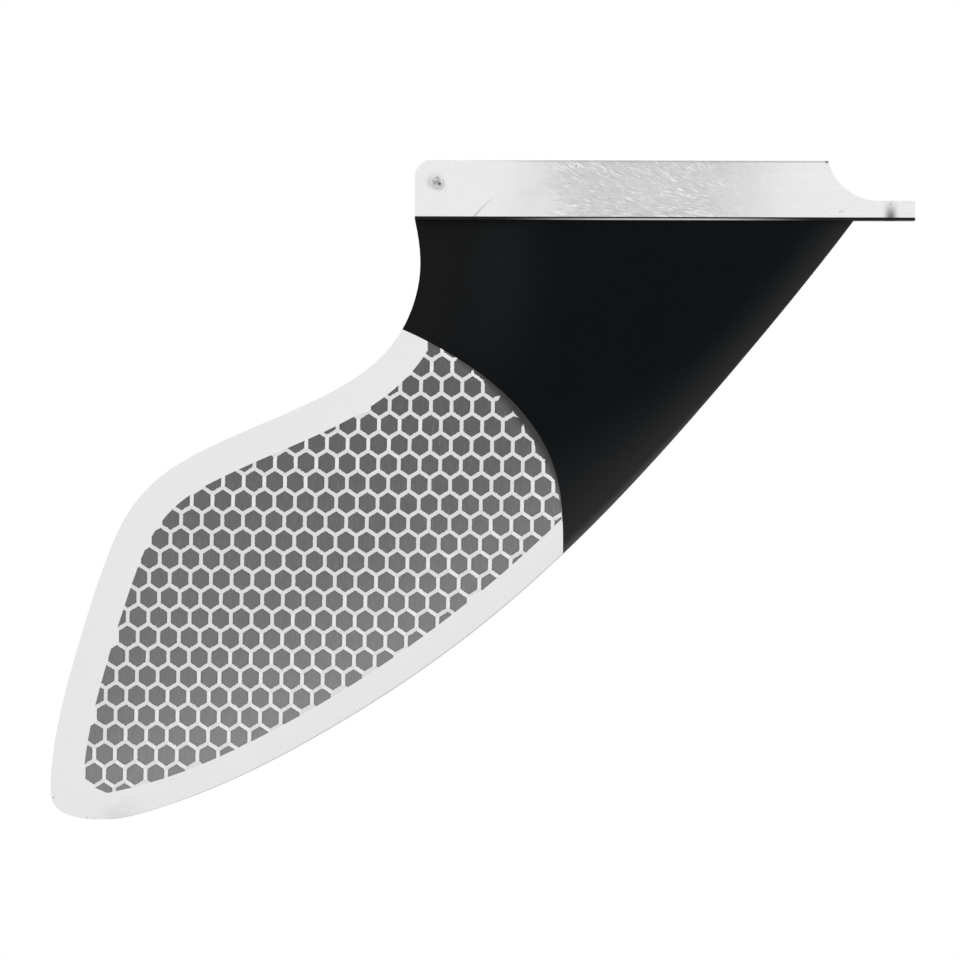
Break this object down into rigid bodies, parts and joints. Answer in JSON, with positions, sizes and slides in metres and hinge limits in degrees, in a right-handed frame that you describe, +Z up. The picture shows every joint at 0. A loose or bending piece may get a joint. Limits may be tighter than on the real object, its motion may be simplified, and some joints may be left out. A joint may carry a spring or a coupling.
{
  "type": "paddleboard fin",
  "caption": "Swept foiled blade with a black root and a pale honeycomb-cored tip, under a long base with a cross pin and a screw tab for a fin box.",
  "frame": {"origin": "where the axis of the fixing screw's hole meets the hull, which is the underside of the flange", "axes": "+X to the board's nose, +Y to port, +Z up to the board; the blade hangs down and sweeps aft"},
  "size_m": [0.2926, 0.0126, 0.2238],
  "materials": {
    "cast_base": "translucent cast glass and resin, satin",
    "pin_metal": "sawn ends, drawn sides",
    "black_laminate": "polished black resin",
    "white_laminate": "polished white glass laminate",
    "core_cells": "grey fibre core under clear resin"
  },
  "bodies": {
    "root": {"base_tongue": "cast_base", "rear_pin": "pin_metal", "root_laminate": "black_laminate", "tip_laminate": "white_laminate", "honeycomb_cells": "core_cells"}
  },
  "joints": []
}
